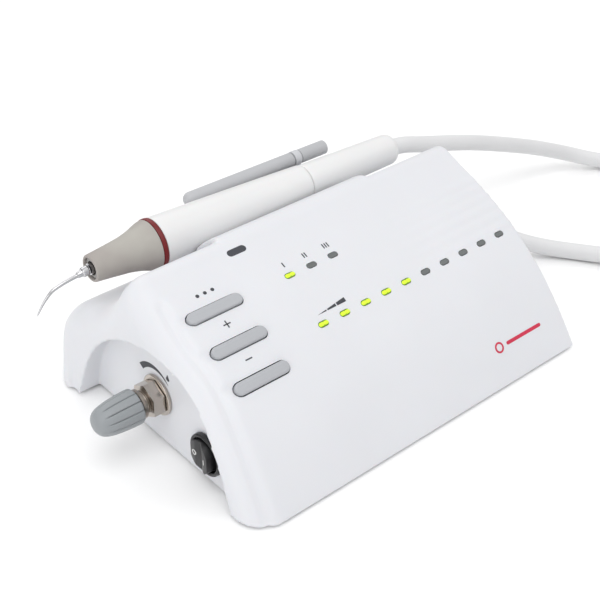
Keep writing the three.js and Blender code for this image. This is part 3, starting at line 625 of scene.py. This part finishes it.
def panel_marks():
    mark("mark_plus", [bar(0, 0, 3.2, 0.5), bar(0, 0, 0.5, 3.2)], panel_matrix(19.9, 52.4),
         INK_DARK)
    mark("mark_minus", [bar(0, 0, 3.0, 0.5)], panel_matrix(19.1, 39.1), INK_DARK)
    mark("mark_option", [disc(-3.4, 0, 0.75), disc(0, 0, 0.75), disc(3.4, 0, 0.75)],
         panel_matrix(20.5, 66.0), INK_DARK)
    for index, x in enumerate((55.2, 65.7, 76.4)):
        strokes = [bar((k - index / 2) * 1.1, 0, 0.5, 2.2) for k in range(index + 1)]
        mark("mark_mode_%d" % (index + 1), strokes, panel_matrix(x, 63.1), INK_DARK)
    wedge = []
    for k in range(3):
        x0, x1 = -7.2 + 4.9 * k, -7.2 + 4.9 * k + 4.4
        wedge.append([(x0, -0.8), (x1, -0.8), (x1, -0.8 + 0.13 * (x1 + 7.2)),
                      (x0, -0.8 + 0.13 * (x0 + 7.2))])
    mark("mark_level", wedge, panel_matrix(61.1, 42.2), INK_DARK)
    mark("mark_badge", [pill_outline(5.6, 1.5, 10)], panel_matrix(42.9, 75.7), INK_DARK)
    mark("mark_strip", [pill_outline(19.0, 0.75, 8)], panel_matrix(136.5, 9.0), INK_RED)
    mark("mark_dot", ring_outline(0, 0, 2.3, 1.5, 24), panel_matrix(122.0, 9.0), INK_RED)


# ------------------------------------------------------------------------ water regulator
def regulator():
    axis = Matrix.Translation((0, REGULATOR["y"], REGULATOR["z"]))
    profile = smoothed([(-32.3, 0.01), (-32.2, 1.6), (-31.7, 3.2), (-30.6, 4.6), (-28.6, 5.6),
                        (-25.5, 6.3), (-21.0, 6.75), (-17.0, 6.95), (-15.0, 6.95)], 5)
    profile += [(-14.6, 6.75), (-14.45, 6.3), (-14.45, 0.01)]
    fine = []
    for (x0, r0), (x1, r1) in zip(profile, profile[1:]):
        steps = max(1, int(abs(x1 - x0) / 0.5))
        fine += [(x0 + (x1 - x0) * k / steps, r0 + (r1 - r0) * k / steps) for k in range(steps)]
    fine.append(profile[-1])

    def fluted(along, radius, angle):
        reach = max(0.0, min(1.0, (along + 29.5) / 3.0))
        groove = max(0.0, math.cos(6 * (angle - 0.2))) ** 60 + max(
            0.0, -math.cos(6 * (angle - 0.2))) ** 60
        return radius - 0.6 * reach * groove

    knob = turned("knob_body", fine, axis, sides=288, radius_at=fluted, sharp_above=60)
    finish_piece(knob, "water_control", "knob", ["water_knob"])

    washer = ring_turned("washer_ring", filleted([
        (-4.3, 4.6), (-5.4, 4.6), (-5.4, 7.9), (-5.15, 8.3), (-4.3, 8.3)], 0.15), axis)
    finish_piece(washer, "root", "nickel", ["regulator_washer"])

    thread = []
    for turn in range(10):
        x = -4.2 - turn * 0.75
        thread += [(x, 4.5), (x - 0.2, 4.5), (x - 0.4, 4.2), (x - 0.6, 4.5)]
    thread += [(-12.1, 4.3), (-12.3, 5.5), (-12.6, 5.8), (-13.8, 5.8), (-14.1, 5.5)]
    bushing = ring_turned("bushing_thread", [(-4.2, 3.0)] + thread + [(-14.1, 3.0)], axis)
    finish_piece(bushing, "root", "brass", finish=THREADS)


# ------------------------------------------------------------------------ handpiece
def handpiece():
    sleeve = ring_turned("sleeve_shell", filleted([
        (1.2, 6.3), (1.2, 10.38), (9, 10.2), (30, 9.55), (58, 8.7), (76.2, 8.05), (76.7, 7.8),
        (76.7, 6.3)], 0.25), HANDPIECE)
    finish_piece(sleeve, "handpiece", "handpiece", ["handpiece_sleeve"])
    band = ring_turned("ring_band", filleted([
        (-0.95, 6.3), (-0.95, 10.4), (-0.6, 10.55), (0.6, 10.55), (0.95, 10.45), (0.95, 6.3)],
        0.12), HANDPIECE)
    finish_piece(band, "handpiece", "accent_ring", ["accent_ring"])
    flank = smoothed([(-27.6, 5.55), (-20, 6.35), (-13, 7.2), (-8, 8.3), (-4.5, 9.5),
                      (-2.4, 10.1), (-1.2, 10.3)], 6)
    cone = ring_turned("grip_sleeve", filleted(
        [(-24.0, 4.4), (-28.0, 4.4)], 0.1) + filleted([(-28.2, 4.6), (-28.2, 5.1), (-27.9, 5.45)],
                                                      0.2) + flank + [(-1.2, 7.2), (-9, 7.2)],
        HANDPIECE, sharp_above=50)
    finish_piece(cone, "handpiece", "grip", ["grip_cone"])
    tail = turned("tail_shell", filleted([
        (64, 0.01), (64, 5.9), (77, 5.9), (77, 7.75), (92, 7.5), (108, 7.25), (120, 7.0),
        (125.6, 6.85), (127.2, 6.2), (127.7, 5.0), (127.7, 0.01)], 0.8), HANDPIECE)
    finish_piece(tail, "handpiece_tail", "handpiece", ["tail_connector"])


def sweep(route, radius_of, sides=24):
    """Rings square to a route of points; radius_of gets the share of the way along."""
    route = [Vector(p) for p in route]
    lengths = [0.0]
    for a, b in zip(route, route[1:]):
        lengths.append(lengths[-1] + (b - a).length)
    rings = []
    side_axis = None
    for index, point in enumerate(route):
        ahead = route[min(index + 1, len(route) - 1)] - route[max(index - 1, 0)]
        ahead.normalize()
        if side_axis is None:
            side_axis = ahead.orthogonal().normalized()
        side_axis = (side_axis - ahead * side_axis.dot(ahead)).normalized()
        other = ahead.cross(side_axis)
        radius = radius_of(lengths[index] / lengths[-1])
        rings.append([point + radius * (math.cos(2 * math.pi * k / sides) * side_axis
                                        + math.sin(2 * math.pi * k / sides) * other)
                      for k in range(sides)])
    return rings


def tip():
    spine = smoothed([(-28.9, 0, 0), (-31.5, 0, -0.3), (-34.5, 0, -0.8), (-38, 0, -1.25),
                      (-41.5, 0, -1.95), (-44.0, 0, -2.65), (-45.6, 0, -3.5), (-47.4, 0, -5.1),
                      (-49.7, 0, -7.6), (-52.2, 0, -11.2)], 14)
    width = [(0, 1.8), (0.02, 2.0), (0.1, 2.0), (0.11, 1.45), (0.17, 1.2), (0.2, 0.82),
             (0.55, 0.74), (0.72, 0.58), (0.9, 0.38), (0.985, 0.25), (1, 0.1)]

    def radius_of(share):
        for (s0, r0), (s1, r1) in zip(width, width[1:]):
            if share <= s1:
                return r0 + (r1 - r0) * (share - s0) / (s1 - s0)
        return width[-1][1]

    rings = sweep([HANDPIECE @ Vector(p) for p in spine], radius_of, 24)
    piece = mesh_object("tip_shank", *loft(rings))
    finish_piece(piece, "tip", "steel", ["scaler_tip"])


# ------------------------------------------------------------------------ rest arm
REST_ARM = Matrix.Translation((0, 122.6, 56.46)) @ Matrix.Rotation(math.radians(0.75), 4, "Y")
REST_ROD = {"radius": 3.1, "neck": 1.9, "left": 52.6, "neck_left": 109.5, "neck_right": 113.7,
            "right": 128.2}
REST_LUG_SIZE = {"left": 109.85, "right": 113.35, "radius": 3.3, "bore": 2.2}


def rest():
    r, neck, right = REST_ROD["radius"], REST_ROD["neck"], REST_ROD["right"]
    nose = [(REST_ROD["left"] + r * (1 - math.cos(a)), max(0.01, r * math.sin(a)))
            for a in np.linspace(0, math.pi / 2, 10)]
    profile = nose + filleted([
        (60, r), (REST_ROD["neck_left"], r), (REST_ROD["neck_left"], neck),
        (REST_ROD["neck_right"], neck), (REST_ROD["neck_right"], r), (right, r), (right, 0.01)], 0.6)
    arm = turned("rest_rod", profile, REST_ARM, 64)
    knuckle = prism("knuckle", filleted([(120.1, 55), (120.1, 47), (124.5, 47), (124.5, 55),
                                         (120.2, 55)], 0.6), 101.5, 107.5)
    combine(arm, knuckle, "UNION")
    smooth(arm.data, 35)
    finish_piece(arm, "rest", "rest_arm", ["rest_arm"])
    lug = REST_LUG_SIZE
    ear = turned("rest_lug", filleted([
        (lug["left"], 0.01), (lug["left"], lug["radius"]), (lug["right"], lug["radius"]),
        (lug["right"], 0.01)], 0.4), REST_ARM, 64)
    bore = turned("bore", [(105, lug["bore"]), (118, lug["bore"])], REST_ARM, 48)
    strap = prism("strap", [(119.9, 50.5), (120.6, 46.0), (124.1, 46.0), (124.1, 44.2),
                            (125.3, 43.6), (125.3, 20), (127.0, 20), (127.0, 46.0),
                            (125.4, 52.0), (123.6, 53.6), (121.0, 53.2)], 109.9, 113.3)
    combine(ear, strap, "UNION")
    combine(ear, bore, "DIFFERENCE")
    smooth(ear.data, 35)
    finish_piece(ear, "root", "rest_arm", ["rest_bracket"], finish=REST_LUG_PAINTED_HIGHLIGHT)


# ------------------------------------------------------------------------ power switch
def power_switch():
    axis = Matrix.Translation((0, SWITCH["y"], SWITCH["z"]))
    ring = turned("switch_ring", filleted([
        (1.4, 0.01), (1.4, 6.9), (-5.7, 6.9), (-6.3, 7.3), (-6.4, 7.9), (-6.0, 8.5), (-4.3, 8.6),
        (-4.3, 7.7), (2.4, 7.7), (2.4, 0.01)], 0.3), axis, 96)
    finish_piece(ring, "root", "black_plastic", ["switch_frame"])
    pivot = Matrix.Translation((-3.6, SWITCH["y"], SWITCH["z"])) @ Matrix.Rotation(
        math.radians(-8), 4, "Z")
    crown = [(-4.7, -5.9), (-4.5, -3.0), (-3.7, -0.6), (-3.5, 0), (-3.7, 0.6), (-4.5, 3.0),
             (-4.7, 5.9), (1.4, 5.2), (2.2, 0), (1.4, -5.2)]
    slab = mesh_object("rocker_body", *loft([[pivot @ Vector((x, y, z)) for x, y in crown]
                                             for z in (-7.0, 7.0)]))
    round_bar = turned("bar", filleted([(-9, 0.01), (-9, 6.5), (4, 6.5), (4, 0.01)], 0.01),
                       pivot, 96)
    combine(slab, round_bar, "INTERSECT")
    edges = slab.modifiers.new("edges", "BEVEL")
    edges.width = 0.45 * MM
    edges.segments = 3
    edges.limit_method = "ANGLE"
    edges.angle_limit = math.radians(40)
    apply_modifiers(slab)
    smooth(slab.data, 30)
    finish_piece(slab, "power_rocker", "black_plastic", ["switch_rocker"])
    for name, y, outlines in (("mark_off", 3.4, ring_outline(0, 0, 1.15, 0.78)),
                              ("mark_on", -3.4, [bar(0, 0, 0.42, 2.2)])):
        seat = pivot @ Matrix.Translation((-4.53, y, 0)) @ Matrix.Rotation(
            math.radians(4 if y > 0 else -4), 4, "Z") @ FACING_LEFT
        mark(name, outlines, seat, MARK_WHITE, "power_rocker", "black_plastic", (-0.3, 0.1))


def ring_outline(x, y, outer, inner, pieces=16):
    """A ring as short quadrilaterals."""
    out = []
    for k in range(pieces):
        a, b = 2 * math.pi * k / pieces, 2 * math.pi * (k + 1) / pieces
        out.append([(x + outer * math.cos(a), y + outer * math.sin(a)),
                    (x + outer * math.cos(b), y + outer * math.sin(b)),
                    (x + inner * math.cos(b), y + inner * math.sin(b)),
                    (x + inner * math.cos(a), y + inner * math.sin(a))])
    return out


def recess_marks():
    """The water-flow scale beside the knob: a tapering arc and a drop."""
    seat = Matrix.Translation((RECESS_FACE, REGULATOR["y"], REGULATOR["z"])) @ FACING_LEFT
    arc = []
    steps = 24
    for k in range(steps):
        edge = []
        for share in (k / steps, (k + 1) / steps):
            angle = math.radians(34 + 96 * share)
            outer = 13.9 - 3.6 * share
            inner = outer - 2.6 * (1 - share) ** 0.8 - 0.12
            edge.append([(-outer * math.cos(angle), outer * math.sin(angle)),
                         (-inner * math.cos(angle), inner * math.sin(angle))])
        arc.append([edge[0][0], edge[1][0], edge[1][1], edge[0][1]])
    mark("mark_flow", arc, seat, INK_DARK)
    drop = []
    for k in range(20):
        angle = 2 * math.pi * k / 20
        pinch = 1.0 + 0.9 * max(0, math.sin(angle)) ** 4
        drop.append((6.6 + 1.0 * math.cos(angle) * (1 - 0.35 * max(0, math.sin(angle))),
                     10.9 + 1.0 * math.sin(angle) * pinch))
    mark("mark_drop", [drop], seat, INK_DARK)


# ------------------------------------------------------------------------ lead and its gland
GLAND_POINT = Vector((CASING["right"], GLAND["y"], GLAND["z"]))
GLAND_AXIS = Vector((0.9, -0.42, -0.12)).normalized()
CORD_RADIUS = 3.75
CORD_REST = 2.8
BOOT_END = 26.3
COIL = {"x": 290.0, "y": 12.0, "outer": 49.5, "pitch": 7.6, "turns": 2.5, "top": 10.45}
LOWER_ROUTE = [(184.2, 69.1, 12.0), (190.8, 65.6, 9.8), (197.6, 60.9, 6.2), (204.4, 55.0, 3.9),
               (210.6, 48.4, 2.8), (215.8, 41.2, 2.8), (220.4, 33.6, 3.1), (224.6, 26.2, 4.6),
               (228.6, 18.6, 6.6), (232.4, 11.0, 8.6), (236.6, 2.6, 10.0), (241.8, -6.0, 10.4)]
UPPER_ROUTE = [(155.6, 107.95, 50.85), (163, 107.9, 49.9), (173, 108.2, 46.3), (185, 108.6, 42.5),
               (204, 109, 36.4), (225, 108.9, 28.8), (253, 106.7, 18.2), (267, 104.4, 12.4),
               (277.9, 101.1, 8), (288, 94, 4.3), (297, 85, 2.8), (304, 76, 2.8),
               (310.5, 66.7, 2.8)]


def coil_route():
    """Counterclockwise: inwards on top, down at the middle, then outwards along the table."""
    first, last = math.radians(215), math.radians(37 + 360 * 6)
    inner = COIL["outer"] - COIL["pitch"] * COIL["turns"]
    span = 2 * math.pi * COIL["turns"]
    route = []
    steps = 24 * 6
    for step in range(steps + 1):
        angle = first + (last - first) * step / steps
        done = angle - first
        left = last - angle
        if done < span:
            radius, height = COIL["outer"] - COIL["pitch"] * done / (2 * math.pi), COIL["top"]
        elif left < span:
            radius, height = COIL["outer"] - COIL["pitch"] * left / (2 * math.pi), CORD_REST
        else:
            share = (done - span) / (last - first - 2 * span)
            ease = share * share * (3 - 2 * share)
            radius, height = inner, COIL["top"] + (CORD_REST - COIL["top"]) * ease
        route.append((COIL["x"] + radius * math.cos(angle), COIL["y"] + radius * math.sin(angle),
                      height))
    return route


def even_steps(points, spacing):
    points = np.array(points, float)
    lengths = np.concatenate([[0], np.cumsum(np.linalg.norm(np.diff(points, axis=0), axis=1))])
    count = max(2, int(lengths[-1] / spacing))
    at = np.linspace(0, lengths[-1], count + 1)
    return np.stack([np.interp(at, lengths, points[:, k]) for k in range(3)], 1)


def lead():
    knots = [tuple(GLAND_POINT + GLAND_AXIS * 20)] + LOWER_ROUTE + coil_route()
    knots += UPPER_ROUTE[::-1]
    tail_end = HANDPIECE @ Vector((122, 0, 0))
    knots.append(tuple(tail_end))
    route = even_steps(smoothed(knots, 6), 3.2)
    for _ in range(3):
        route[1:-1] = 0.25 * route[:-2] + 0.5 * route[1:-1] + 0.25 * route[2:]
    rings = sweep(route, lambda share: CORD_RADIUS, 20)
    piece = mesh_object("lead", *loft(rings))
    piece.data.materials.append(FINISHES["cord"])
    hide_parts("cord_upper", "cord_lower", "cord_coil")
    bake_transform(piece)

    turn = Matrix.Translation(GLAND_POINT) @ Vector((1, 0, 0)).rotation_difference(
        GLAND_AXIS).to_matrix().to_4x4()
    profile = [(-3, 4.9), (0.3, 4.9), (0.5, 7.9), (2.6, 7.7), (3.2, 6.3)]
    for rib in range(6):
        x = 4.2 + rib * 3.6
        r = 6.1 - 0.27 * rib
        profile += [(x, r), (x + 2.3, r - 0.17), (x + 2.5, r - 0.95), (x + 3.4, r - 1.0)]
    profile += [(26, 4.4), (BOOT_END, 4.0), (BOOT_END, 3.76)]
    boot = turned("gland_boot", [(-3, 0.01)] + filleted(profile, 0.25, 3) + [(BOOT_END, 0.01)],
                  turn)
    finish_piece(boot, "root", "cord", ["cord_gland"])


# ------------------------------------------------------------------------ CAD pieces that stay
SOFT_EDGES = {"regulator_nut": 0.35, "foot_front_left": 0.4, "foot_rear_left": 0.4,
              "foot_front_right": 0.4, "foot_rear_right": 0.4, "power_socket": 0.3,
              "pedal_socket": 0.3, "water_inlet": 0.2, "nose_light_ring": 0.1}


def dress_cad_nodes():
    """Finishes for the CAD pieces that keep their shape, with softened edges outside."""
    for name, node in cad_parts.items():
        slot = node.data.materials[0].name.split(".")[0]
        node.data.materials.clear()
        node.data.materials.append(FINISHES[slot])
        if name in SOFT_EDGES:
            bevel = node.modifiers.new("edges", "BEVEL")
            bevel.width = SOFT_EDGES[name] * MM
            bevel.segments = 3
            bevel.limit_method = "ANGLE"
            bevel.angle_limit = math.radians(35)
            smooth(node.data, 35)


# ------------------------------------------------------------------------ stage
def studio():
    floor_mesh = bpy.data.meshes.new("floor")
    reach = 4.0
    floor_mesh.from_pydata([(-reach, -reach, 0), (reach, -reach, 0), (reach, reach, 0),
                            (-reach, reach, 0)], [], [(0, 1, 2, 3)])
    floor = bpy.data.objects.new("floor", floor_mesh)
    bpy.context.scene.collection.objects.link(floor)
    floor.location.z = cad_low.z - 0.0002
    floor.data.materials.append(material("floor_paper", (250, 250, 250), 0.9, variation=0.004))
    world = bpy.data.worlds.new("studio")
    world.use_nodes = True
    tree = world.node_tree
    coords = tree.nodes.new("ShaderNodeTexCoord")
    split = tree.nodes.new("ShaderNodeSeparateXYZ")
    ramp = tree.nodes.new("ShaderNodeValToRGB")
    tree.links.new(coords.outputs["Generated"], split.inputs["Vector"])
    tree.links.new(split.outputs["Z"], ramp.inputs["Fac"])
    ramp.color_ramp.elements[0].position = 0.0
    ramp.color_ramp.elements[0].color = (0.18, 0.18, 0.19, 1)
    ramp.color_ramp.elements[1].position = 0.45
    ramp.color_ramp.elements[1].color = (1, 1, 1, 1)
    tree.links.new(ramp.outputs["Color"], tree.nodes["Background"].inputs["Color"])
    tree.nodes["Background"].inputs["Strength"].default_value = 0.9
    bpy.context.scene.world = world
    for name, place_at, size, power in (
            ("key", (-0.3, -0.4, 1.3), 0.9, 4.6),
            ("side", (-1.1, -0.25, 0.4), 0.7, 2.6),
            ("fill", (0.9, -0.5, 1.1), 1.0, 1.8),
            ("back", (0.2, 1.2, 1.0), 0.9, 2.6)):
        lamp = bpy.data.objects.new(name, bpy.data.lights.new(name, "AREA"))
        bpy.context.scene.collection.objects.link(lamp)
        lamp.data.size = size
        lamp.data.energy = power
        lamp.location = place_at
        lamp.rotation_euler = (-Vector(place_at)).to_track_quat("-Z", "Y").to_euler()


casing()
panel_parts()
panel_marks()
recess_marks()
regulator()
power_switch()
handpiece()
tip()
rest()
lead()
dress_cad_nodes()
studio()
